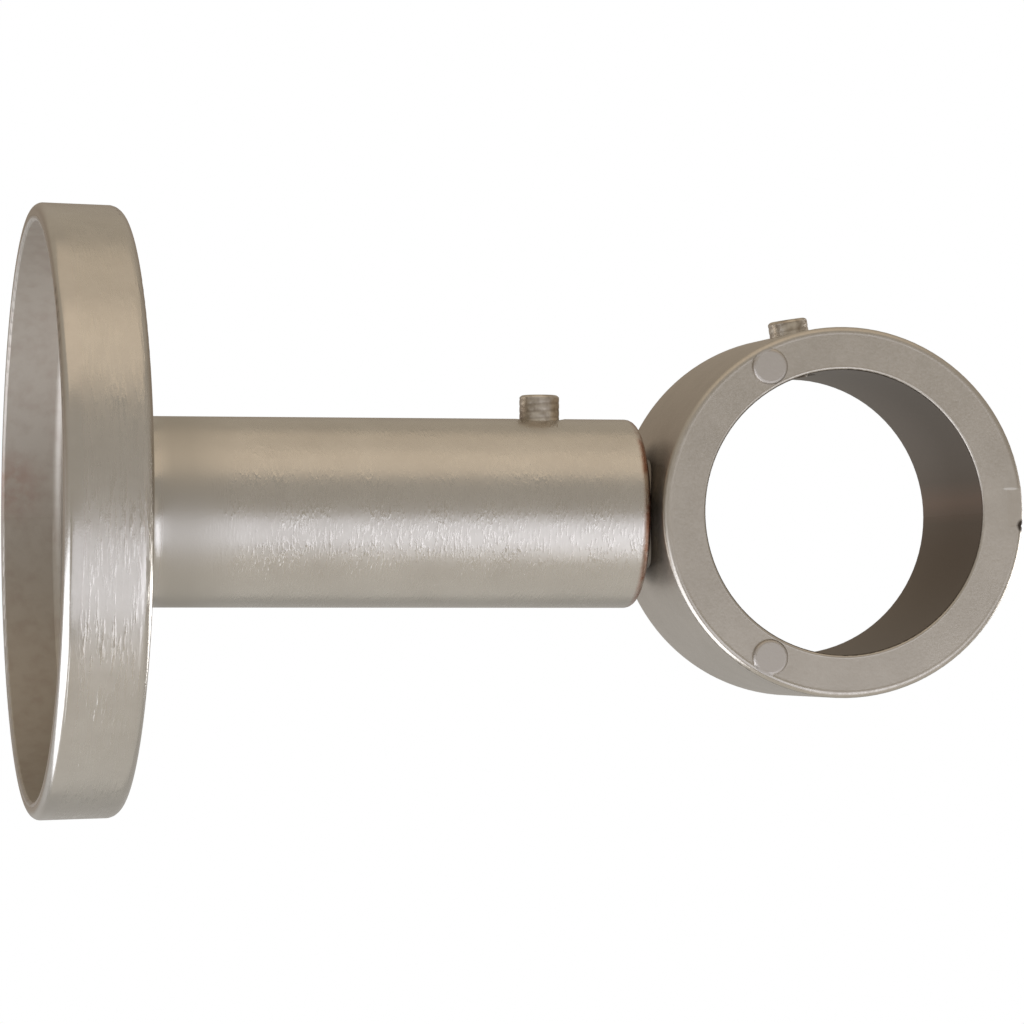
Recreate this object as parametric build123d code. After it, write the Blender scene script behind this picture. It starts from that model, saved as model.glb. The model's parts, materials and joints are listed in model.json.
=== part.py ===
from build123d import *
import os
from math import atan2, cos, radians, sin, sqrt, tan

# Curtain pole bracket for a wall: a cast rose and stem, a cast ring on a spigot, and two grub screws.
# Millimetres. The origin is the middle of the rim that meets the wall.
# X runs out from the wall along the stem, Y along the pole and Z up.

# Pole ring
pole_projection = 80.0      # wall to the middle of the pole
ring_bore = 28.4            # a 28 mm pole with room to slide
ring_wall = 4.3
ring_width = 22.4
ring_outer_edge = 0.6       # rounding round the outside of both faces
ring_bore_edge = 0.3        # rounding round the bore on both faces

# Wall rose
rose_diameter = 61.0        # across the rim
rose_depth = 8.6
rose_draft = 1.5            # degrees, the skirt narrows away from the wall
rose_skirt = 1.8            # wall thickness at the rim
rose_face = 2.4             # thickness of the front face
rose_front_edge = 1.3
rose_inside_corner = 1.0
rim_outer_edge = 0.9
rim_inner_edge = 0.3

# Stem
stem_diameter = 19.0
stem_root_fillet = 3.4      # hollow curve from the rose's face into the stem
stem_end_edge = 1.0
ring_gap = 0.7              # between the stem's end and the ring
core_diameter = 9.0         # casting core left in the back of the stem
core_depth = 22.0           # from the floor of the cup
core_draft = 1.0            # degrees
core_corner = 1.0

# Spigot of the ring and its socket in the stem
spigot_diameter = 11.0
spigot_length = 24.0        # inside the stem
spigot_lead = 0.6           # chamfer at the free end
spigot_clearance = 0.08     # radial
socket_end_gap = 1.0        # left behind the spigot
socket_mouth_edge = 0.4
socket_floor_corner = 0.5

# Wall screw holes, beside the stem so that a driver passes the ring
wall_hole_spacing = 41.0
wall_hole_diameter = 4.6
wall_hole_sink = 8.6        # across the countersink
wall_hole_sink_angle = 90.0

# Grub screws with a hex socket and a cup point
screw_diameter = 4.0
screw_length = 6.0
screw_top_edge = 0.45       # rounding round the top
screw_point_diameter = 2.2
screw_cup_depth = 0.5
screw_hex = 2.0             # across the flats
screw_hex_depth = 2.2
screw_clearance = 0.05      # radial, in the tapped holes
tapped_mouth = 0.25         # chamfer round the mouth of the stem's hole
stem_screw_setback = 9.6    # from the stem's end to the screw
stem_screw_tip_gap = 0.4    # from the screw's point to the spigot
ring_screw_lean = 9.0       # degrees from upright, towards the wall
ring_screw_tip_out = 0.2    # how far the point stands in the bore

# Casting marks on the ring
pad_diameter = 3.6
pad_height = 0.45
pad_edge = 0.35             # rounding round the top of a pad
pad_angle = 62.0            # degrees above and below the stem's axis
gate_chord = 3.8            # flat where the gate was ground off
gate_reach = 7.0            # along the pole, from the marked face
gate_angle = 1.9            # degrees above the stem's axis
gate_slant_width = 1.7      # of the marked face, ground off at a slant
gate_slant_depth = 0.2      # at the ring's outside
nick_size = 0.5             # square nick at the lower end of the flat
nick_reach = 0.8            # along the pole, from the marked face

# Sizes that follow
rim_radius = rose_diameter / 2
rim_inner_radius = rim_radius - rose_skirt
draft_slope = tan(radians(rose_draft))
front_radius = rim_radius - rose_depth * draft_slope
cup_depth = rose_depth - rose_face
floor_radius = rim_inner_radius - cup_depth * draft_slope
stem_radius = stem_diameter / 2
bore_radius = ring_bore / 2
ring_radius = bore_radius + ring_wall
stem_end = pole_projection - ring_radius - ring_gap
spigot_radius = spigot_diameter / 2
socket_radius = spigot_radius + spigot_clearance
spigot_tip = stem_end - spigot_length
socket_floor = spigot_tip - socket_end_gap
core_radius = core_diameter / 2
core_end = cup_depth + core_depth
core_end_radius = core_radius - core_depth * tan(radians(core_draft))
screw_radius = screw_diameter / 2
tapped_radius = screw_radius + screw_clearance
stem_screw_x = stem_end - stem_screw_setback
marked_face = -ring_width / 2


def section(corners):
    # A closed outline, from pairs of a corner and the radius of its rounding.
    points = [point for point, radius in corners]
    radii = [radius for point, radius in corners]
    return make_face(FilletPolyline(*points, radius=radii, close=True))


def rose_and_stem():
    # One casting turned about the stem's axis: points run round the half section, from the rim.
    corners = [
        ((0, rim_inner_radius), rim_inner_edge),
        ((0, rim_radius), rim_outer_edge),
        ((rose_depth, front_radius), rose_front_edge),
        ((rose_depth, stem_radius), stem_root_fillet),
        ((stem_end, stem_radius), stem_end_edge),
        ((stem_end, socket_radius), socket_mouth_edge),
        ((socket_floor, socket_radius), socket_floor_corner),
        ((socket_floor, 0), 0),
        ((core_end, 0), 0),
        ((core_end, core_end_radius), core_corner),
        ((cup_depth, core_radius), 0),
        ((cup_depth, floor_radius), rose_inside_corner),
    ]
    return revolve(section(corners), Axis.X)


def wall_screw_hole(side):
    # Through the rose's face, countersunk from the front.
    sink_radius = wall_hole_sink / 2
    hole_radius = wall_hole_diameter / 2
    sink_depth = (sink_radius - hole_radius) / tan(radians(wall_hole_sink_angle / 2))
    start = Plane(origin=(0, side * wall_hole_spacing / 2, 0), z_dir=(1, 0, 0))
    hole = start * Pos(0, 0, rose_depth / 2) * Cylinder(hole_radius, 2 * rose_depth)
    sink = start * Pos(0, 0, rose_depth - sink_depth / 2) * Cone(hole_radius, sink_radius, sink_depth)
    return hole + sink


def stem_tapped_hole():
    # From the socket out through the top of the stem, with a chamfered mouth.
    hole = Pos(stem_screw_x, 0, stem_radius) * Cylinder(tapped_radius, 2 * (stem_radius - spigot_radius / 2))
    mouth_radius = tapped_radius + tapped_mouth
    low_edge = sqrt(stem_radius ** 2 - mouth_radius ** 2) - tapped_mouth
    height = stem_radius + tapped_mouth - low_edge
    chamfer = Cone(tapped_radius, tapped_radius + height, height)
    return hole + Pos(stem_screw_x, 0, low_edge + height / 2) * chamfer


def bracket_body():
    body = rose_and_stem()
    for side in (-1, 1):
        body -= wall_screw_hole(side)
    return body - stem_tapped_hole()


def ring_screw_plane(radius):
    # Lies across the ring's screw, at a distance from the pole's axis, facing outwards.
    lean = radians(ring_screw_lean)
    out = Vector(-sin(lean), 0, cos(lean))
    centre = Vector(pole_projection, 0, 0)
    return Plane(origin=centre + out * radius, x_dir=(0, 1, 0), z_dir=out)


def ring_hoop():
    # The ring's wall, turned about the pole's axis.
    half = ring_width / 2
    corners = [
        ((bore_radius, -half), ring_bore_edge),
        ((ring_radius, -half), ring_outer_edge),
        ((ring_radius, half), ring_outer_edge),
        ((bore_radius, half), ring_bore_edge),
    ]
    return Pos(pole_projection, 0, 0) * revolve(section(corners), Axis.Y)


def ring_spigot():
    # Runs from the middle of the ring's wall to its free end in the stem's socket.
    root = pole_projection - bore_radius - ring_wall / 2
    rod = [
        (spigot_tip, 0),
        (root, 0),
        (root, spigot_radius),
        (spigot_tip + spigot_lead, spigot_radius),
        (spigot_tip, spigot_radius - spigot_lead),
    ]
    return revolve(make_face(Polyline(*rod, close=True)), Axis.X)


def ejector_pad(side):
    # Raised round mark of an ejector pin, in the middle of the ring's marked face.
    reach = bore_radius + ring_wall / 2
    angle = radians(pad_angle)
    x = pole_projection - reach * cos(angle)
    z = side * reach * sin(angle)
    base = Plane(origin=(x, marked_face, z), z_dir=(0, -1, 0))
    pad = Cylinder(pad_diameter / 2, 2 * pad_height)
    top_edge = pad.edges().filter_by(GeomType.CIRCLE).sort_by(Axis.Z)[-1]
    return base * fillet(top_edge, pad_edge)


def gate_flat():
    # The sliver that grinding took off the ring's outside, about the pole's axis.
    middle = sqrt(ring_radius ** 2 - (gate_chord / 2) ** 2)
    depth = 2 * (ring_radius - middle)
    block = Box(depth, 2 * gate_reach, 2 * gate_chord)
    return Pos(middle + depth / 2, marked_face, 0) * block


def gate_slant():
    # The shallow slant that the same grinding left on the marked face, about the pole's axis.
    slope = atan2(gate_slant_depth, gate_slant_width)
    start = (ring_radius - gate_slant_width, marked_face, 0)
    ground = Plane(origin=start, x_dir=(cos(slope), sin(slope), 0), z_dir=(sin(slope), -cos(slope), 0))
    block = Box(2 * gate_slant_width, gate_chord, gate_slant_width)
    return ground * Pos(gate_slant_width, 0, gate_slant_width / 2) * block


def gate_nick():
    # A nick across the corner at the lower end of the flat, about the pole's axis.
    corner = Pos(ring_radius, marked_face, -gate_chord / 2)
    return corner * Rot(0, 45, 0) * Box(nick_size, 2 * nick_reach, nick_size)


def pole_ring():
    ring = ring_hoop() + ring_spigot()
    for side in (-1, 1):
        ring += ejector_pad(side)
    at_gate = Pos(pole_projection, 0, 0) * Rot(0, -gate_angle, 0)
    for cut in (gate_flat(), gate_slant(), gate_nick()):
        ring -= at_gate * cut
    hole = Cylinder(tapped_radius, 2 * ring_wall)
    return ring - ring_screw_plane(bore_radius + ring_wall / 2) * hole


def grub_screw():
    # Stands on its cup point at the origin, with the hex socket upwards.
    point_radius = screw_point_diameter / 2
    corners = [
        ((0, screw_cup_depth), 0),
        ((point_radius, 0), 0),
        ((screw_radius, screw_radius - point_radius), 0),
        ((screw_radius, screw_length), screw_top_edge),
        ((0, screw_length), 0),
    ]
    blank = revolve(Plane.XZ * section(corners), Axis.Z)
    hexagon = RegularPolygon(screw_hex / 2, 6, major_radius=False)
    socket = Pos(0, 0, screw_length - screw_hex_depth) * extrude(hexagon, screw_hex_depth)
    return blank - socket


def stem_grub_screw():
    return Pos(stem_screw_x, 0, spigot_radius + stem_screw_tip_gap) * grub_screw()


def ring_grub_screw():
    return ring_screw_plane(bore_radius - ring_screw_tip_out) * grub_screw()


os.makedirs("parts", exist_ok=True)
nodes = {
    "bracket_body": bracket_body(),
    "pole_ring": pole_ring(),
    "stem_grub_screw": stem_grub_screw(),
    "ring_grub_screw": ring_grub_screw(),
}
for name, solid in nodes.items():
    export_step(solid, os.path.join("parts", name + ".step"))
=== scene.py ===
import bpy
import json
from math import cos, pi, radians, sin
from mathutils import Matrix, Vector


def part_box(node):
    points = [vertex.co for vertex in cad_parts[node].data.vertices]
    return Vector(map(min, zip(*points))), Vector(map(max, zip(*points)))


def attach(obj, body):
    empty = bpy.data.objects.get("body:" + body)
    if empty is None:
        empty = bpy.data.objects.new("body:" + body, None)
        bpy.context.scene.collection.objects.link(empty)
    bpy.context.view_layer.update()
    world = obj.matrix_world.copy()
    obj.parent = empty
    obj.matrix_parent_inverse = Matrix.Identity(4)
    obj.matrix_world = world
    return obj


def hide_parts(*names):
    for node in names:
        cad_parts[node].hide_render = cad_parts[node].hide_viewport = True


# A curtain pole bracket: both castings get satin nickel, the grub screws get a thread, and a studio shows it.

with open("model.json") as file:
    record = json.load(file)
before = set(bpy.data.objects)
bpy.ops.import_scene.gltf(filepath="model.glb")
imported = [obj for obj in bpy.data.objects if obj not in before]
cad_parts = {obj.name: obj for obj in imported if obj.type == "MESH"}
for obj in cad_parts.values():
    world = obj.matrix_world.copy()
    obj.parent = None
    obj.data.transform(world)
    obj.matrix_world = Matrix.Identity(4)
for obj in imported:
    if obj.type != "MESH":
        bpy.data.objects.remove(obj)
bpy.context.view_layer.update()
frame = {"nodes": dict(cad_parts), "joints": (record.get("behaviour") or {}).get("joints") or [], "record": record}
nodes = frame["nodes"]
joints = {joint["name"]: joint for joint in frame["joints"]}
poleBore = next(mount for mount in frame["record"]["mounts"] if mount["name"] == "pole_bore")
poleMiddle = Vector(poleBore["pos_m"])
mm = 0.001
print("frame loaded:", ", ".join(sorted(nodes)))


# small helpers

times = {"operation": "MULTIPLY"}   # settings that many nodes share
larger = {"operation": "MAXIMUM"}
length = {"operation": "LENGTH"}
unit = {"operation": "NORMALIZE"}


def linearColour(hexText):
    channels = [int(hexText[i:i + 2], 16) / 255 for i in (1, 3, 5)]
    linear = [c / 12.92 if c <= 0.04045 else ((c + 0.055) / 1.055) ** 2.4 for c in channels]
    return (*linear, 1.0)


def addNode(tree, kind, settings=None, links=None):
    # Inputs go by name or number. Map Range: 0 value, 1 and 2 its range, 3 and 4 the result's range.
    # Mix: 0 share, then numbers at 2 and 3, vectors at 4 and 5, colours at 6 and 7.
    node = tree.nodes.new(kind)
    for name, value in (settings or {}).items():
        if isinstance(name, str) and hasattr(node, name):
            setattr(node, name, value)
        else:
            node.inputs[name].default_value = value
    for name, source in (links or {}).items():
        if isinstance(source, bpy.types.Node):
            source = next(output for output in source.outputs if output.enabled)
        tree.links.new(source, node.inputs[name])
    return node


def newMaterial(name):
    material = bpy.data.materials.new(name)
    material.use_nodes = True
    material.node_tree.nodes.clear()
    return material, material.node_tree


def fromRounding(tree, point, outwards, radius, along, hollow=False):
    # the way from a rounding's centre line, a circle round an axis, to a point: made a unit it is the normal,
    # which stays even where the mesh is in coarse facets
    circle = addNode(tree, "ShaderNodeVectorMath", {"operation": "SCALE", "Scale": radius}, {0: outwards})
    centre = addNode(tree, "ShaderNodeVectorMath", {"operation": "ADD", 1: along}, {0: circle})
    ends = {0: centre, 1: point} if hollow else {0: point, 1: centre}
    return addNode(tree, "ShaderNodeVectorMath", {"operation": "SUBTRACT"}, ends)


def deselectAll():
    if bpy.context.object and bpy.context.object.mode != "OBJECT":
        bpy.ops.object.mode_set(mode="OBJECT")
    bpy.ops.object.select_all(action="DESELECT")


def makeActive(piece):
    deselectAll()
    piece.select_set(True)
    bpy.context.view_layer.objects.active = piece


def giveMaterial(piece, material):
    piece.data.materials.clear()
    piece.data.materials.append(material)


# Satin nickel over a zinc casting that was linished on a belt while it turned. The belt leaves short marks
# round the stem's axis, so a highlight breaks up into bright dashes, and the rest is an even warm grey.
# The cup inside the rose is left as cast and a little dirty. The copper undercoat shows where the plate is
# thin, at the stem's end and at a spot in the cup.
turnedNickel = {
    "colour": "#d3ccc1",
    "shade": "#b9b1a6",            # thinner plate, in soft clouds and fine specks
    "asPlated": "#bcb5aa",         # where the belt didn't reach
    "cupColour": "#bab2a6",
    "cupDirt": "#93796b",
    "copper": "#9f7663",
    "shadedEndFace": "#766c62",          # painted shade on the face inside the joint with the ring, and thin dull plate
    "roughness": (0.42, 0.30, 0.10),   # as plated, between the belt's marks, and on them
    "rootRoughness": 0.18,         # the fillet at the stem's root was polished
    "rimRoughness": 0.22,
    "cupRoughness": 0.55,
    "root": (11.2, 13.0),          # mm from the wall, the polish of the root fades over this
    "fades": {                     # mm along the axis from the wall, or out from the axis: none and full
        "onStem": ("along", 15.0, 20.0),      # belt marks, which the rose keeps off the stem's root
        "pastRim": ("along", 1.2, 2.2),       # belt marks on the skirt, as the rounded rim was left smooth
        "onSide": ("out", 29.6, 30.1),        # the skirt
        "shallow": ("along", 7.1, 6.6),       # the cup, up to its floor
        "inWalls": ("out", 29.25, 29.05),     # the cup, out to its wall
        "atEnd": ("along", 59.8, 60.3),       # copper
        "onEndFace": ("along", 60.68, 60.78),
    },
    "markWidth": (0.25, 0.36),     # mm, on the stem and on the rose's skirt
    "markDepth": (0.030, 0.042),   # mm, the same, and deeper than real ones so that they show
    "stemToSkirt": (10.0, 28.7),   # mm out from the axis, the marks change from one to the other over this
    "markAngle": 0.10,             # radians that a mark runs round the axis
    "markNoise": (2.0, 0.55),      # detail and roughness
    "markLevels": (0.46, 0.80),    # of that noise: no mark, and a full one
    "noises": {                    # mm across, detail and roughness
        "patch": (3.5, 2.0, 0.5),    # the belt bites in patches
        "grain": (0.20, 1.0, 0.5),   # coarser than the real one, so that it shows
        "cloud": (6.0, 6.0, 0.75),
        "wear": (1.2, 2.0, 0.5),     # spots where the plate has worn thin
        "mottle": (1.5, 4.0, 0.5),   # dirt in the cup
    },
    "levels": {                    # of a noise: low and high, and the share at each
        "patch": (0.38, 0.62, 0.25, 1.0),
        "wear": (0.35, 0.60, 0.3, 1.0),
        "mottle": (0.42, 0.68, 0.0, 0.2),
    },
    "grainDepth": 0.0060,          # mm
    "bareSpot": (0.8, 28.4, 3.2),  # mm: copper shows through the cup's wall here, beside the rim
    "bareReach": (4.4, 1.0),       # mm from there, none and full
    "bareShare": 0.4,
    "barrels": (                   # mm: ends along the axis, radius, and slope of the normal
        (12.0, 59.8, 9.5, 0.0),    # stem
        (0.9, 7.3, 30.4, 0.026),   # skirt
    ),
    "barrelSlack": 0.13,           # mm, takes in the skirt's draft
    "roundings": (                 # mm: size, centre along the axis and out from it; sides that they lie on
        (0.9, 0.9, 29.6, -1, 1),     # rim
        (1.3, 7.3, 28.98, 1, 1),     # front edge of the rose
        (3.4, 12.0, 12.9, -1, -1),   # hollow root of the stem
        (1.0, 59.8, 8.5, 1, 1),      # end of the stem
    ),
    "slack": 0.1,                  # mm that facets may lie off a rounding
}


def makeTurnedNickel(look):
    material, tree = newMaterial("satin_nickel_turned")
    coords = addNode(tree, "ShaderNodeTexCoord").outputs["Object"]
    place = addNode(tree, "ShaderNodeSeparateXYZ", links={0: coords})
    x = place.outputs["X"]
    across = addNode(tree, "ShaderNodeCombineXYZ", links={1: place.outputs["Y"], 2: place.outputs["Z"]})
    radius = addNode(tree, "ShaderNodeVectorMath", length, {0: across})
    outwards = addNode(tree, "ShaderNodeVectorMath", unit, {0: across})

    noises, shares = {}, {}
    for name, (size, detail, rough) in look["noises"].items():
        noises[name] = addNode(tree, "ShaderNodeTexNoise", {"Scale": 1 / (size * mm), "Detail": detail,
                               "Roughness": rough}, {0: coords})
    for name, (low, high, least, most) in look["levels"].items():
        shares[name] = addNode(tree, "ShaderNodeMapRange", {1: low, 2: high, 3: least, 4: most},
                               {0: noises[name]})

    # where each finish lies: the belt reached all of the skirt, and the stem past its root
    measures = {"along": x, "out": radius}
    fades = {}
    for name, (measure, none, full) in look["fades"].items():
        fades[name] = addNode(tree, "ShaderNodeMapRange", {1: none * mm, 2: full * mm},
                              {0: measures[measure]})
    onSkirt = addNode(tree, "ShaderNodeMath", times, {0: fades["onSide"], 1: fades["pastRim"]})
    belted = addNode(tree, "ShaderNodeMath", larger, {0: fades["onStem"], 1: onSkirt})
    worked = addNode(tree, "ShaderNodeMath", larger, {0: fades["onStem"], 1: fades["onSide"]})
    cup = addNode(tree, "ShaderNodeMath", times, {0: fades["shallow"], 1: fades["inWalls"]})

    # marks: noise drawn out round the axis, over the distance along the turned profile
    stem, skirt = look["stemToSkirt"]
    stemWidth, skirtWidth = look["markWidth"]
    fineness = addNode(tree, "ShaderNodeMapRange", {1: stem * mm, 2: skirt * mm, 3: 1 / (stemWidth * mm),
                       4: 1 / (skirtWidth * mm)}, {0: radius})
    profile = addNode(tree, "ShaderNodeMath", {"operation": "SUBTRACT"}, {0: x, 1: radius})
    rings = addNode(tree, "ShaderNodeMath", times, {0: profile, 1: fineness})
    lengthwise = addNode(tree, "ShaderNodeCombineXYZ", links={0: rings})
    turned = addNode(tree, "ShaderNodeVectorMath", {"operation": "SCALE", "Scale": 1 / look["markAngle"]},
                     {0: outwards})
    drawnOut = addNode(tree, "ShaderNodeVectorMath", {"operation": "ADD"}, {0: lengthwise, 1: turned})
    detail, rough = look["markNoise"]
    streaks = addNode(tree, "ShaderNodeTexNoise", {"Scale": 1.0, "Detail": detail, "Roughness": rough},
                      {0: drawnOut})
    none, full = look["markLevels"]
    marks = addNode(tree, "ShaderNodeMapRange", {1: none, 2: full}, {0: streaks})
    bitten = addNode(tree, "ShaderNodeMath", times, {0: marks, 1: shares["patch"]})
    height = addNode(tree, "ShaderNodeMath", times, {0: bitten, 1: belted})
    stemDepth, skirtDepth = look["markDepth"]
    bite = addNode(tree, "ShaderNodeMapRange", {1: stem * mm, 2: skirt * mm, 3: stemDepth * mm,
                   4: skirtDepth * mm}, {0: radius})

    # true normals of the turned form, under the marks and the grain
    normal = addNode(tree, "ShaderNodeNewGeometry").outputs["Normal"]
    for low, high, barrel, slope in look["barrels"]:
        share = addNode(tree, "ShaderNodeMath", {"operation": "COMPARE", 1: (low + high) / 2 * mm,
                        2: (high - low) / 2 * mm}, {0: x})
        close = addNode(tree, "ShaderNodeMath", {"operation": "COMPARE", 1: barrel * mm,
                        2: look["barrelSlack"] * mm}, {0: radius})
        share = addNode(tree, "ShaderNodeMath", times, {0: share, 1: close})
        straight = addNode(tree, "ShaderNodeVectorMath", {"operation": "ADD", 1: (slope, 0, 0)},
                           {0: outwards})
        normal = addNode(tree, "ShaderNodeMix", {"data_type": "VECTOR"}, {0: share, 4: normal, 5: straight})
    slack = look["slack"]
    for size, middle, reach, ahead, out in look["roundings"]:
        away = fromRounding(tree, coords, outwards, reach * mm, (middle * mm, 0, 0), hollow=out < 0)
        distance = addNode(tree, "ShaderNodeVectorMath", length, {0: away})
        share = addNode(tree, "ShaderNodeMath", {"operation": "COMPARE", 1: size * mm, 2: slack * mm},
                        {0: distance})
        for measure, start, side in ((x, middle, ahead), (radius, reach, out)):
            past = addNode(tree, "ShaderNodeMapRange", {1: start * mm, 2: (start + slack * side) * mm},
                           {0: measure})
            share = addNode(tree, "ShaderNodeMath", times, {0: share, 1: past})
        rounded = addNode(tree, "ShaderNodeVectorMath", unit, {0: away})
        normal = addNode(tree, "ShaderNodeMix", {"data_type": "VECTOR"}, {0: share, 4: normal, 5: rounded})
    beltBump = addNode(tree, "ShaderNodeBump", links={"Height": height, "Distance": bite, "Normal": normal})
    bump = addNode(tree, "ShaderNodeBump", {"Distance": look["grainDepth"] * mm},
                   {"Height": noises["grain"], "Normal": beltBump})

    # colours from the plain plate to the stem's end
    missed = addNode(tree, "ShaderNodeMapRange", {3: 1.0, 4: 0.0}, {0: worked})
    dirty = addNode(tree, "ShaderNodeMath", times, {0: cup, 1: shares["mottle"]})
    spot = Vector(look["bareSpot"]) * mm
    fromSpot = addNode(tree, "ShaderNodeVectorMath", {"operation": "DISTANCE", 1: spot}, {0: coords})
    none, full = look["bareReach"]
    nearSpot = addNode(tree, "ShaderNodeMapRange", {1: none * mm, 2: full * mm, 4: look["bareShare"]},
                       {0: fromSpot})
    inCup = addNode(tree, "ShaderNodeMath", times, {0: cup, 1: nearSpot})
    bare = addNode(tree, "ShaderNodeMath", times, {0: inCup, 1: shares["wear"]})
    edge = addNode(tree, "ShaderNodeMath", times, {0: fades["atEnd"], 1: shares["wear"]})
    tone = addNode(tree, "ShaderNodeMix", {"data_type": "RGBA", 6: linearColour(look["colour"]),
                   7: linearColour(look["shade"])}, {0: noises["cloud"]})
    # the stem's end face inside the joint is darkened with painted shade
    for share, name in ((missed, "asPlated"), (cup, "cupColour"), (dirty, "cupDirt"), (bare, "copper"),
                        (edge, "copper"), (fades["onEndFace"], "shadedEndFace")):
        tone = addNode(tree, "ShaderNodeMix", {"data_type": "RGBA", 7: linearColour(look[name])},
                       {0: share, 6: tone})

    # gloss: the root and the rim are polished, and so are the belt's marks
    plain, between, marked = look["roughness"]
    polished, dulled = look["root"]
    atRoot = addNode(tree, "ShaderNodeMapRange", {1: polished * mm, 2: dulled * mm, 3: look["rootRoughness"],
                     4: plain}, {0: x})
    roughness = addNode(tree, "ShaderNodeMix", {3: between}, {0: worked, 2: atRoot})
    onRim = addNode(tree, "ShaderNodeMath", {"operation": "SUBTRACT"}, {0: fades["onSide"], 1: onSkirt})
    for share, value in ((onRim, look["rimRoughness"]), (height, marked), (cup, look["cupRoughness"])):
        roughness = addNode(tree, "ShaderNodeMix", {3: value}, {0: share, 2: roughness})
    shader = addNode(tree, "ShaderNodeBsdfPrincipled", {"Metallic": 1.0},
                     {"Base Color": tone, "Roughness": roughness, "Normal": bump})
    addNode(tree, "ShaderNodeOutputMaterial", links={"Surface": shader})
    return material


# The same plate over the ring's casting, which was tumbled and not turned: an even fine grain with no
# direction. The bore is darker and duller: painted shade, and thin dull plate. Painted shade and oily dirt
# darken the ring's outside where it meets the stem, and a nick at the gate. Above the ground gate a lighter
# line is a painted highlight and a bright burr from grinding.
tumbledNickel = {
    "colour": "#cdc4b7",
    "shade": "#b0a79a",            # thinner plate, in soft clouds and fine specks
    "pad": "#bfb7ad",              # the pads are a little paler than the face
    # darker in the bore: painted shade, and thin dull plate
    "bore": "#786d61",
    "thinPlate": "#8b796b",
    # painted shade and dirt where the ring meets the stem, and in the nick at the gate
    "shadeAndDirt": "#4a4139",
    # painted highlight above the ground gate, and a bright burr from grinding
    "burrAndHighlight": "#dcd6cd",
    "roughness": (0.30, 0.44),     # in the hollows of the grain and on its crests
    "dullRoughness": 0.5,          # bore, pads, and where shade and dirt are painted
    "edgeRoughness": 0.2,          # below the stem, where the outer edge is rubbed bright
    "noises": {                    # mm across, detail and roughness
        "grain": (0.24, 2.0, 0.5),   # coarser than the real one, so that it shows
        "cloud": (5.0, 6.0, 0.75),
    },
    "grainLevels": (0.3, 0.7),     # of that noise: hollows and crests
    "grainDepth": 0.008,           # mm
    "fades": {                     # mm from the bore, the stem's axis or the pole's middle: none and full
        "inBore": ("outOfBore", 0.12, 0.02),
        "outside": ("outOfBore", 3.0, 4.0),
        "onRing": ("outOfBore", 5.5, 4.5),    # and not along the spigot
        "nearStem": ("outOfStem", 7.5, 4.5),  # painted shade and dirt
        "stemSide": ("x", -2.0, -4.0),
        "beforeGate": ("x", 17.0, 16.0),
        "onPad": ("y", -11.22, -11.3),
        "below": ("z", -5.0, -11.0),
    },
    "spots": {                     # mm from the pole's middle, then none and full from there
        "thin": ((14.2, 0.0, 1.3), 2.2, 0.2),       # the bore behind the gate, where plate is thin
        # painted shade and dirt in the nick at the gate
        "nick": ((18.5, -11.2, -1.29), 0.8, 0.55),
    },
    "burr": (17.1, -11.2, 2.42),   # mm from the pole's middle: a bright line above the ground gate
    "burrSize": (0.75, 0.4, 0.13),  # mm to each side
    "burrLevels": (1.2, 0.8),      # times that size, none and full
    "radius": 18.5,                # mm, outside
    "halfWidth": 10.6,             # mm, of the outside between its roundings
    "slack": 0.04,                 # mm that facets of the outside may lie off it
    "edges": {                     # mm out from the pole's axis and along it to a rounding's centre line,
                                   # and out to where it fades
        "outer": (17.9, -10.6, 17.7),
        "bore": (14.5, -10.9, 14.6),
    },
    "edgeFade": 0.1,               # mm, along the pole
}


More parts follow.
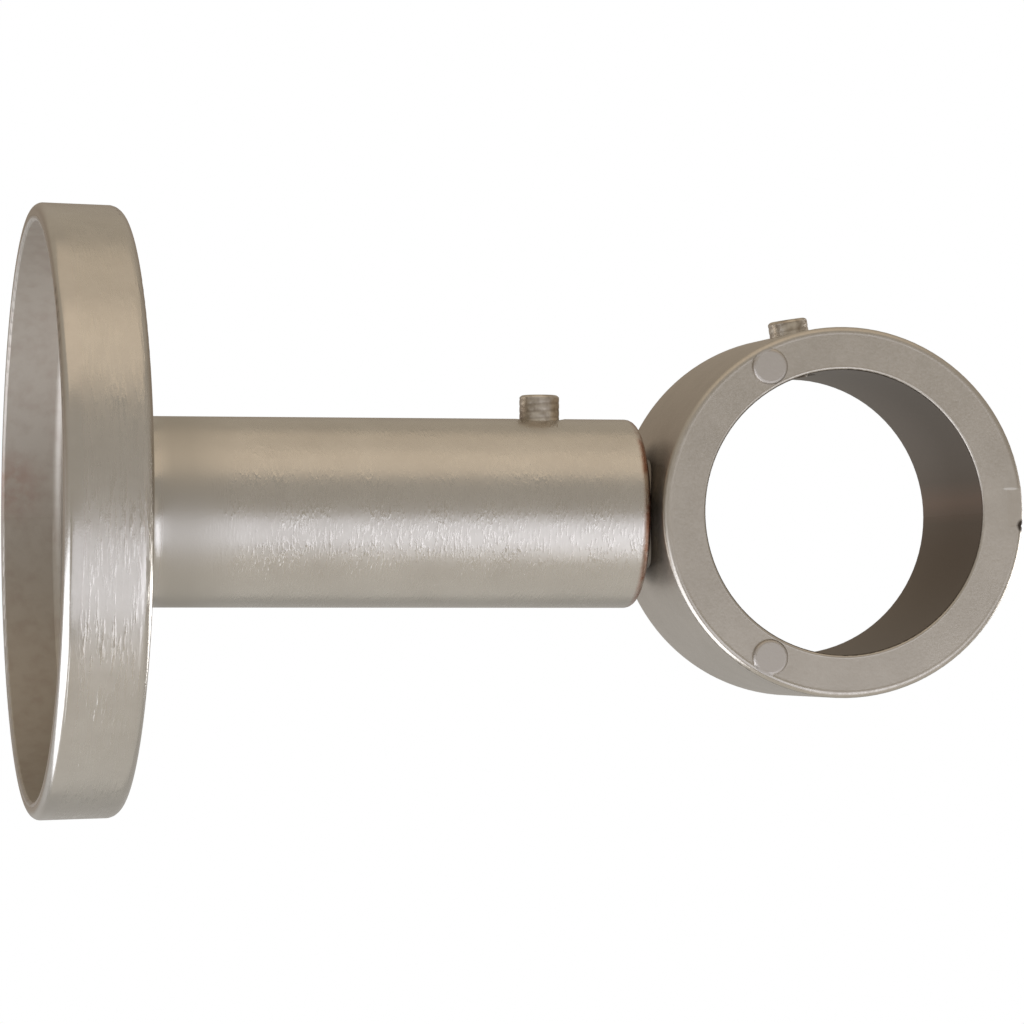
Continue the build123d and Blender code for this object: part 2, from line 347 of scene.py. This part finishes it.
def makeTumbledNickel(look):
    material, tree = newMaterial("satin_nickel_tumbled")
    coords = addNode(tree, "ShaderNodeTexCoord").outputs["Object"]
    noises = {}
    for name, (size, detail, rough) in look["noises"].items():
        noises[name] = addNode(tree, "ShaderNodeTexNoise", {"Scale": 1 / (size * mm), "Detail": detail,
                               "Roughness": rough}, {0: coords})

    # distances from the pole's axis and from the stem's
    fromPole = addNode(tree, "ShaderNodeVectorMath", {"operation": "SUBTRACT", 1: poleMiddle}, {0: coords})
    flatPole = addNode(tree, "ShaderNodeVectorMath", {"operation": "MULTIPLY", 1: (1, 0, 1)}, {0: fromPole})
    flatStem = addNode(tree, "ShaderNodeVectorMath", {"operation": "MULTIPLY", 1: (0, 1, 1)}, {0: coords})
    poleRadius = addNode(tree, "ShaderNodeVectorMath", length, {0: flatPole})
    outOfStem = addNode(tree, "ShaderNodeVectorMath", length, {0: flatStem})
    bore = poleBore["dims"]["r_mm"]
    outOfBore = addNode(tree, "ShaderNodeMath", {"operation": "SUBTRACT", 1: bore * mm}, {0: poleRadius})
    axes = addNode(tree, "ShaderNodeSeparateXYZ", links={0: fromPole})
    y = axes.outputs["Y"]
    measures = {"outOfBore": outOfBore, "outOfStem": outOfStem, "x": axes.outputs["X"], "y": y,
                "z": axes.outputs["Z"]}
    fades = {}
    for name, (measure, none, full) in look["fades"].items():
        fades[name] = addNode(tree, "ShaderNodeMapRange", {1: none * mm, 2: full * mm},
                              {0: measures[measure]})
    spots = {}
    for name, source in (("thin", flatPole), ("nick", fromPole)):
        spot, none, full = look["spots"][name]
        away = addNode(tree, "ShaderNodeVectorMath", {"operation": "DISTANCE", 1: Vector(spot) * mm},
                       {0: source})
        spots[name] = addNode(tree, "ShaderNodeMapRange", {1: none * mm, 2: full * mm}, {0: away})

    # true normals of the outside, and of the marked face's roundings up to the gate
    outwards = addNode(tree, "ShaderNodeVectorMath", unit, {0: flatPole})
    meshNormal = addNode(tree, "ShaderNodeNewGeometry").outputs["Normal"]
    close = addNode(tree, "ShaderNodeMath", {"operation": "COMPARE", 1: look["radius"] * mm,
                    2: look["slack"] * mm}, {0: poleRadius})
    between = addNode(tree, "ShaderNodeMath", {"operation": "COMPARE", 1: 0.0, 2: look["halfWidth"] * mm},
                      {0: y})
    onWall = addNode(tree, "ShaderNodeMath", times, {0: close, 1: between})
    normal = addNode(tree, "ShaderNodeMix", {"data_type": "VECTOR"}, {0: onWall, 4: meshNormal, 5: outwards})
    edges = {}
    for name, (out, front, fadesAt) in look["edges"].items():
        past = addNode(tree, "ShaderNodeMapRange", {1: fadesAt * mm, 2: out * mm}, {0: poleRadius})
        foremost = addNode(tree, "ShaderNodeMapRange", {1: (front + look["edgeFade"]) * mm, 2: front * mm},
                           {0: y})
        edges[name] = addNode(tree, "ShaderNodeMath", times, {0: past, 1: foremost})
        share = addNode(tree, "ShaderNodeMath", times, {0: edges[name], 1: fades["beforeGate"]})
        away = fromRounding(tree, fromPole, outwards, out * mm, (0, front * mm, 0))
        rounded = addNode(tree, "ShaderNodeVectorMath", unit, {0: away})
        normal = addNode(tree, "ShaderNodeMix", {"data_type": "VECTOR"}, {0: share, 4: normal, 5: rounded})
    bump = addNode(tree, "ShaderNodeBump", {"Distance": look["grainDepth"] * mm},
                   {"Height": noises["grain"], "Normal": normal})

    # colours from the plain plate to the painted shade and dirt, and the burr with its painted highlight
    thin = addNode(tree, "ShaderNodeMath", times, {0: spots["thin"], 1: fades["inBore"]})
    # painted shade and dirt on the ring's outside where it meets the stem, and in the nick
    inJoint = fades["nearStem"]
    for name in ("stemSide", "outside", "onRing"):
        inJoint = addNode(tree, "ShaderNodeMath", times, {0: inJoint, 1: fades[name]})
    shadeAndDirt = addNode(tree, "ShaderNodeMath", larger, {0: inJoint, 1: spots["nick"]})
    fromBurr = addNode(tree, "ShaderNodeVectorMath", {"operation": "SUBTRACT", 1: Vector(look["burr"]) * mm},
                       {0: fromPole})
    inSizes = addNode(tree, "ShaderNodeVectorMath", {"operation": "DIVIDE", 1: Vector(look["burrSize"]) * mm},
                      {0: fromBurr})
    burrReach = addNode(tree, "ShaderNodeVectorMath", length, {0: inSizes})
    none, full = look["burrLevels"]
    onBurr = addNode(tree, "ShaderNodeMapRange", {1: none, 2: full}, {0: burrReach})
    tone = addNode(tree, "ShaderNodeMix", {"data_type": "RGBA", 6: linearColour(look["colour"]),
                   7: linearColour(look["shade"])}, {0: noises["cloud"]})
    for share, name in ((fades["onPad"], "pad"), (fades["inBore"], "bore"), (thin, "thinPlate"),
                        (shadeAndDirt, "shadeAndDirt"), (onBurr, "burrAndHighlight")):
        tone = addNode(tree, "ShaderNodeMix", {"data_type": "RGBA", 7: linearColour(look[name])},
                       {0: share, 6: tone})

    # gloss: bright where the edge is rubbed, and dull in the bore, on the pads and where shade and dirt are
    # painted
    hollows, crests = look["grainLevels"]
    smooth, coarse = look["roughness"]
    roughness = addNode(tree, "ShaderNodeMapRange", {1: hollows, 2: crests, 3: smooth, 4: coarse},
                        {0: noises["grain"]})
    underStem = addNode(tree, "ShaderNodeMath", times, {0: fades["stemSide"], 1: fades["below"]})
    rubbed = addNode(tree, "ShaderNodeMath", times, {0: edges["outer"], 1: underStem})
    boreOrPad = addNode(tree, "ShaderNodeMath", larger, {0: fades["inBore"], 1: fades["onPad"]})
    dull = addNode(tree, "ShaderNodeMath", larger, {0: boreOrPad, 1: shadeAndDirt})
    for share, value in ((rubbed, look["edgeRoughness"]), (dull, look["dullRoughness"])):
        roughness = addNode(tree, "ShaderNodeMix", {3: value}, {0: share, 2: roughness})
    shader = addNode(tree, "ShaderNodeBsdfPrincipled", {"Metallic": 1.0},
                     {"Base Color": tone, "Roughness": roughness, "Normal": bump})
    addNode(tree, "ShaderNodeOutputMaterial", links={"Surface": shader})
    return material


giveMaterial(nodes["bracket_body"], makeTurnedNickel(turnedNickel))
giveMaterial(nodes["pole_ring"], makeTumbledNickel(tumbledNickel))
print("castings finished in satin nickel")


# Steel grub screws, plated after the thread was rolled: soft crests, and dull brownish oil left in the roots.
platedSteel = {
    "colour": "#d4cabb",
    "roots": "#bbb0a1",
    "oil": "#80705e",              # dried in blotches on the flanks and crests
    "roughness": (0.34, 0.50),     # in the hollows of the grain and on its crests
    "noises": {                    # mm across, and detail
        "grain": (0.3, 3.0),
        "blotch": (1.1, 3.0),
    },
    "grainDepth": 0.008,           # mm
    "oilLevels": (0.42, 0.66, 0.6),    # of the blotches' noise: none and full, and the most oil
}
grubScrew = {
    "diameter": 4.0,               # mm, down to merge
    "length": 6.0,
    "pitch": 0.7,
    "threadDepth": 0.03,           # worn and filled with plate
    "crest": 0.34,
    "topRound": 0.45,
    "pointDiameter": 2.2,
    "cupDepth": 0.5,
    "hex": 2.0,
    "hexDepth": 2.2,
    "drillCone": 0.35,             # under the broached hexagon
    "overhang": 0.3,               # of the threaded bar at each end, before it is trimmed
    "trim": 0.06,                  # spare size of the trimming blank
    "merge": 0.001,                # points this close are one
    "steps": 64,                   # round one turn
    "spareTurns": (1.5, 4),        # of the bar below the tip, and in all
    "topSteps": 5,                 # across the top's rounding
    "smoothAngle": 32,             # degrees
    "topOil": 0.3,                 # share on the top, where there is no thread
}


def makePlatedSteel(look):
    material, tree = newMaterial("nickel_plated_steel")
    coords = addNode(tree, "ShaderNodeTexCoord").outputs["Object"]
    noises = {}
    for name, (size, detail) in look["noises"].items():
        noises[name] = addNode(tree, "ShaderNodeTexNoise", {"Scale": 1 / (size * mm), "Detail": detail},
                               {0: coords})
    bump = addNode(tree, "ShaderNodeBump", {"Distance": look["grainDepth"] * mm}, {"Height": noises["grain"]})
    hollows = addNode(tree, "ShaderNodeAttribute", {"attribute_name": "roots"}).outputs["Fac"]
    none, full, most = look["oilLevels"]
    oily = addNode(tree, "ShaderNodeMapRange", {1: none, 2: full, 4: most}, {0: noises["blotch"]})
    metal = addNode(tree, "ShaderNodeMix", {"data_type": "RGBA", 6: linearColour(look["colour"]),
                    7: linearColour(look["roots"])}, {0: hollows})
    tone = addNode(tree, "ShaderNodeMix", {"data_type": "RGBA", 7: linearColour(look["oil"])},
                   {0: oily, 6: metal})
    smooth, coarse = look["roughness"]
    roughness = addNode(tree, "ShaderNodeMapRange", {3: smooth, 4: coarse}, {0: noises["grain"]})
    shader = addNode(tree, "ShaderNodeBsdfPrincipled", {"Metallic": 1.0},
                     {"Base Color": tone, "Roughness": roughness, "Normal": bump})
    addNode(tree, "ShaderNodeOutputMaterial", links={"Surface": shader})
    return material


def selectWhere(piece, kind, test):
    # selects vertices by place, edges by their two ends or faces by normal, in edit mode
    bpy.ops.object.mode_set(mode="EDIT")
    bpy.ops.mesh.select_mode(type=kind)
    bpy.ops.mesh.select_all(action="DESELECT")
    bpy.ops.object.mode_set(mode="OBJECT")
    mesh = piece.data
    if kind == "FACE":
        for face in mesh.polygons:
            face.select = test(face.normal)
    elif kind == "EDGE":
        for edge in mesh.edges:
            edge.select = test(*(mesh.vertices[i].co for i in edge.vertices))
    else:
        for vertex in mesh.vertices:
            vertex.select = test(vertex.co)
    bpy.ops.object.mode_set(mode="EDIT")


def facesDown(normal):
    return normal.z < -0.99


def applyModifier(piece, kind, **settings):
    makeActive(piece)
    modifier = piece.modifiers.new(kind.lower(), kind)
    for name, value in settings.items():
        setattr(modifier, name, value)
    bpy.ops.object.modifier_apply(modifier=modifier.name)


def carve(piece, cutter, operation):
    applyModifier(piece, "BOOLEAN", object=cutter, operation=operation, solver="EXACT")
    bpy.data.objects.remove(cutter)


def makeThreadBar(look):
    # one turn's outline, flank to crest to flank, wound up into a bar that is longer than the screw
    radius, pitch, depth = look["diameter"] / 2 * mm, look["pitch"] * mm, look["threadDepth"] * mm
    merge, overhang, steps = look["merge"] * mm, look["overhang"] * mm, look["steps"]
    turnsBelow, spareTurns = look["spareTurns"]
    turns = int(look["length"] / look["pitch"]) + spareTurns
    middle = radius - depth / 2
    deselectAll()
    bpy.ops.mesh.primitive_plane_add(size=1.0)
    bar = bpy.context.object
    bpy.ops.object.mode_set(mode="EDIT")
    bpy.ops.transform.resize(value=(depth, pitch, 1.0))
    bpy.ops.object.mode_set(mode="OBJECT")
    bar.rotation_euler = (radians(90), 0, 0)
    bar.location = (middle, 0, -turnsBelow * pitch)
    bpy.ops.object.transform_apply(location=True, rotation=True, scale=True)
    selectWhere(bar, "VERT", lambda p: p.x > middle)
    bpy.ops.transform.resize(value=(1.0, 1.0, look["crest"] / look["pitch"]))
    selectWhere(bar, "EDGE", lambda a, b: max(a.x, b.x) < middle)
    bpy.ops.mesh.delete(type="EDGE_FACE")
    applyModifier(bar, "SCREW", axis="Z", angle=2 * pi, screw_offset=pitch, iterations=turns, steps=steps,
                  render_steps=steps, use_merge_vertices=True, merge_threshold=merge)
    bpy.ops.object.mode_set(mode="EDIT")
    bpy.ops.mesh.select_all(action="SELECT")
    bpy.ops.mesh.remove_doubles(threshold=merge)
    for height, side in ((-overhang, -1), (look["length"] * mm + overhang, 1)):
        bpy.ops.mesh.select_all(action="SELECT")
        bpy.ops.mesh.bisect(plane_co=(0, 0, height), plane_no=(0, 0, side), use_fill=True, clear_outer=True)
    bpy.ops.mesh.select_all(action="SELECT")
    bpy.ops.mesh.normals_make_consistent(inside=False)
    bpy.ops.object.mode_set(mode="OBJECT")
    return bar


def makeScrewBlank(look):
    # blank with a rounded top and a cup point, which trims the bar's ends
    radius, tall = (look["diameter"] / 2 + look["trim"]) * mm, look["length"] * mm
    deselectAll()
    bpy.ops.mesh.primitive_cylinder_add(vertices=look["steps"], radius=radius, depth=tall,
                                        location=(0, 0, tall / 2))
    blank = bpy.context.object
    bpy.ops.object.transform_apply(location=True, rotation=True, scale=True)
    merge, point = look["merge"] * mm, (look["diameter"] - look["pointDiameter"]) / 2
    for height, bevel, segments in ((tall, look["topRound"], look["topSteps"]), (0.0, point, 1)):
        selectWhere(blank, "EDGE", lambda a, b: max(abs(a.z - height), abs(b.z - height)) < merge)
        bpy.ops.mesh.bevel(offset=(bevel + look["trim"]) * mm, segments=segments, affect="EDGES")
    selectWhere(blank, "FACE", facesDown)
    bpy.ops.mesh.poke(offset=-look["cupDepth"] * mm)
    bpy.ops.object.mode_set(mode="OBJECT")
    return blank


def makeHexKeyhole(look):
    acrossCorners = look["hex"] * mm / cos(radians(30))
    deselectAll()
    bpy.ops.mesh.primitive_cylinder_add(vertices=6, radius=acrossCorners / 2, depth=2 * look["hexDepth"] * mm,
                                        location=(0, 0, look["length"] * mm))
    cutter = bpy.context.object
    bpy.ops.object.transform_apply(location=True, rotation=True, scale=True)
    selectWhere(cutter, "FACE", facesDown)
    bpy.ops.mesh.poke(offset=look["drillCone"] * mm)
    bpy.ops.object.mode_set(mode="OBJECT")
    return cutter


def markRoots(screw, look):
    # how deep each point lies in the thread, for the oil that stays there
    depth, radius = look["threadDepth"] * mm, look["diameter"] / 2 * mm
    top = (look["length"] - look["topRound"]) * mm
    roots = screw.data.attributes.new("roots", "FLOAT", "POINT")
    for vertex, mark in zip(screw.data.vertices, roots.data):
        hollow = min(max((radius - vertex.co.xy.length) / depth, 0.0), 1.0)
        mark.value = hollow if vertex.co.z < top else look["topOil"]


def makeGrubScrew(look):
    screw = makeThreadBar(look)
    carve(screw, makeScrewBlank(look), "INTERSECT")
    carve(screw, makeHexKeyhole(look), "DIFFERENCE")
    makeActive(screw)
    bpy.ops.object.mode_set(mode="EDIT")
    bpy.ops.mesh.select_all(action="SELECT")
    bpy.ops.mesh.remove_doubles(threshold=look["merge"] / 2 * mm)
    bpy.ops.mesh.normals_make_consistent(inside=False)
    bpy.ops.object.mode_set(mode="OBJECT")
    bpy.ops.object.shade_smooth_by_angle(angle=radians(look["smoothAngle"]))
    markRoots(screw, look)
    return screw


def seatGrubScrew(screw, name, node, joint, through):
    # the screw's axis passes through a point of the frame, and its tip stands where the CAD screw's tip does
    makeActive(screw)
    bpy.ops.object.duplicate()
    piece = bpy.context.object
    piece.name = name
    axis = Vector(joints[joint]["axis"])
    tip = min((vertex.co - through).dot(axis) for vertex in nodes[node].data.vertices)
    piece.location = through + axis * tip
    piece.rotation_euler = axis.to_track_quat("Z", "Y").to_euler()
    bpy.ops.object.transform_apply(location=True, rotation=True, scale=True)
    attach(piece, joints[joint]["child"])
    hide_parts(node)


screwModel = makeGrubScrew(grubScrew)
giveMaterial(screwModel, makePlatedSteel(platedSteel))
stemScrewLow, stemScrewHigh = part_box("stem_grub_screw")
stemScrewMiddle = (stemScrewLow + stemScrewHigh) / 2
seatGrubScrew(screwModel, "stemGrubScrew", "stem_grub_screw", "stem_screw_travel", stemScrewMiddle)
seatGrubScrew(screwModel, "ringGrubScrew", "ring_grub_screw", "ring_screw_travel", poleMiddle)
bpy.data.objects.remove(screwModel)
print("grub screws threaded and seated")


# studio: a pale floor well below the part, warm lights above it, cool ones low in front and at the sides,
# and a dim room that the metal sees between them

studio = {
    "floorHeight": -0.6,           # metres
    "floorRadius": 3.4,
    "floorSides": 96,
    "floorColour": "#e4e2df",
    "floorRoughness": 0.8,
    "floorGlow": 0.35,
    "front": "#b8b5b0",            # what the metal sees in front of it
    "back": "#b4b4b2",             # and behind it, low down
    "backBands": (                 # then upwards: where a band starts and is full, as rise over distance
        (-0.60, -0.40, "#bdbbb8"),
        (-0.16, 0.00, "#9c9083"),
        (0.25, 0.55, "#b9b1a4"),
    ),
    "frontToBack": (-0.5, 0.7),    # one changes to the other over this, as depth over distance
    "backdrop": "#ffffff",         # what the camera sees past the part
}
lights = {                         # metres; the power is the radiance times pi and the area
    "topLight": {"at": (0.04, -0.16, 0.5), "towards": (0.04, -0.16, 0.0), "size": (0.9, 0.72),
                 "radiance": 0.235, "colour": "#ffe9cc"},
    "topFront": {"at": (0.04, -0.31, 0.49), "towards": (0.04, -0.31, 0.0), "size": (0.9, 0.42),
                 "radiance": 0.17, "colour": "#ffe9cc"},
    "lowLight": {"at": (0.04, -0.02, -0.3), "towards": (0.04, -0.02, 0.0), "size": (0.9, 0.46),
                 "radiance": 0.225, "colour": "#ffffff"},
    "keyLight": {"at": (0.199, -0.552, -0.254), "towards": (0.04, 0.0, 0.0), "size": (0.80, 0.40),
                 "radiance": 0.72, "colour": "#dfe8ff"},
    "glintLight": {"at": (0.255, -0.453, -0.326), "towards": (0.04, 0.0, 0.0), "size": (0.15, 0.44),
                   "radiance": 1.25, "colour": "#e6edff"},
    "leftLight": {"at": (-0.347, -0.056, -0.311), "towards": (0.04, 0.0, 0.0), "size": (0.72, 0.57),
                  "radiance": 2.1, "colour": "#e3ecff"},
    "leftFill": {"at": (-0.44, 0.36, -0.15), "towards": (0.04, 0.0, 0.0), "size": (0.60, 0.50),
                 "radiance": 0.165, "colour": "#e3ecff"},
    "rightLight": {"at": (0.50, 0.205, -0.072), "towards": (0.02, 0.0, 0.0), "size": (0.36, 0.15),
                   "radiance": 5.0, "colour": "#f4f7ff"},
    "sideFill": {"at": (0.36, -0.52, 0.03), "towards": (0.04, 0.0, 0.0), "size": (0.16, 0.22),
                 "radiance": 0.14, "colour": "#fff4f0"},
}
photoCamera = {
    "azimuth": -11.114,            # degrees, from the photo's outlines
    "elevation": -1.239,
    "target": (0.048414, 0.0, 0.000132),   # metres
    "distance": 0.535815,
    "lens": 187.5,                 # mm, and the sensor
    "sensor": 36,
    "nearest": 0.01,               # metres, nothing closer is drawn
}


def makeFloor(look):
    deselectAll()
    bpy.ops.mesh.primitive_circle_add(vertices=look["floorSides"], radius=look["floorRadius"],
                                      fill_type="NGON", location=(0, 0, look["floorHeight"]))
    floor = bpy.context.object
    floor.name = "floor"
    bpy.ops.object.transform_apply(location=True, rotation=True, scale=True)
    material, tree = newMaterial("pale_floor")
    colour = linearColour(look["floorColour"])
    shader = addNode(tree, "ShaderNodeBsdfPrincipled", {"Base Color": colour, "Emission Color": colour,
                     "Roughness": look["floorRoughness"], "Emission Strength": look["floorGlow"]})
    addNode(tree, "ShaderNodeOutputMaterial", links={"Surface": shader})
    giveMaterial(floor, material)
    floor.visible_glossy = False   # the metal sees the lights and the room, and not the floor


def makeRoom(look):
    world = bpy.data.worlds.new("room")
    bpy.context.scene.world = world
    world.use_nodes = True
    tree = world.node_tree
    tree.nodes.clear()
    direction = addNode(tree, "ShaderNodeTexCoord").outputs["Generated"]
    axes = addNode(tree, "ShaderNodeSeparateXYZ", links={0: direction})
    back = addNode(tree, "ShaderNodeRGB")
    back.outputs[0].default_value = linearColour(look["back"])
    for start, full, colour in look["backBands"]:
        share = addNode(tree, "ShaderNodeMapRange", {1: start, 2: full}, {0: axes.outputs["Z"]})
        back = addNode(tree, "ShaderNodeMix", {"data_type": "RGBA", 7: linearColour(colour)},
                       {0: share, 6: back})
    start, full = look["frontToBack"]
    depth = addNode(tree, "ShaderNodeMapRange", {1: start, 2: full}, {0: axes.outputs["Y"]})
    room = addNode(tree, "ShaderNodeMix", {"data_type": "RGBA", 6: linearColour(look["front"])},
                   {0: depth, 7: back})
    lit = addNode(tree, "ShaderNodeBackground", links={0: room})
    plain = addNode(tree, "ShaderNodeBackground", {"Color": linearColour(look["backdrop"])})
    seen = addNode(tree, "ShaderNodeLightPath").outputs["Is Camera Ray"]
    shown = addNode(tree, "ShaderNodeMixShader", links={0: seen, 1: lit, 2: plain})
    addNode(tree, "ShaderNodeOutputWorld", links={"Surface": shown})


def makeLight(name, look):
    deselectAll()
    at = Vector(look["at"])
    bpy.ops.object.light_add(type="AREA", location=at)
    lamp = bpy.context.object
    lamp.name = name
    lamp.data.shape = "RECTANGLE"
    lamp.data.size, lamp.data.size_y = look["size"]
    lamp.data.energy = look["radiance"] * pi * look["size"][0] * look["size"][1]
    lamp.data.color = linearColour(look["colour"])[:3]
    lamp.rotation_euler = (Vector(look["towards"]) - at).to_track_quat("-Z", "Y").to_euler()
    lamp.visible_camera = False


def makeCamera(look):
    azimuth, elevation = radians(look["azimuth"]), radians(look["elevation"])
    back = Vector((sin(azimuth) * cos(elevation), -cos(azimuth) * cos(elevation), sin(elevation)))
    deselectAll()
    bpy.ops.object.camera_add(location=Vector(look["target"]) + back * look["distance"])
    camera = bpy.context.object
    camera.name = "photo_camera"
    camera.rotation_euler = (-back).to_track_quat("-Z", "Y").to_euler()
    camera.data.sensor_width = look["sensor"]
    camera.data.lens = look["lens"]
    camera.data.clip_start = look["nearest"]
    bpy.context.scene.camera = camera


makeFloor(studio)
makeRoom(studio)
for name, look in lights.items():
    makeLight(name, look)
makeCamera(photoCamera)
bpy.context.scene.view_settings.view_transform = "Standard"
print("studio set")
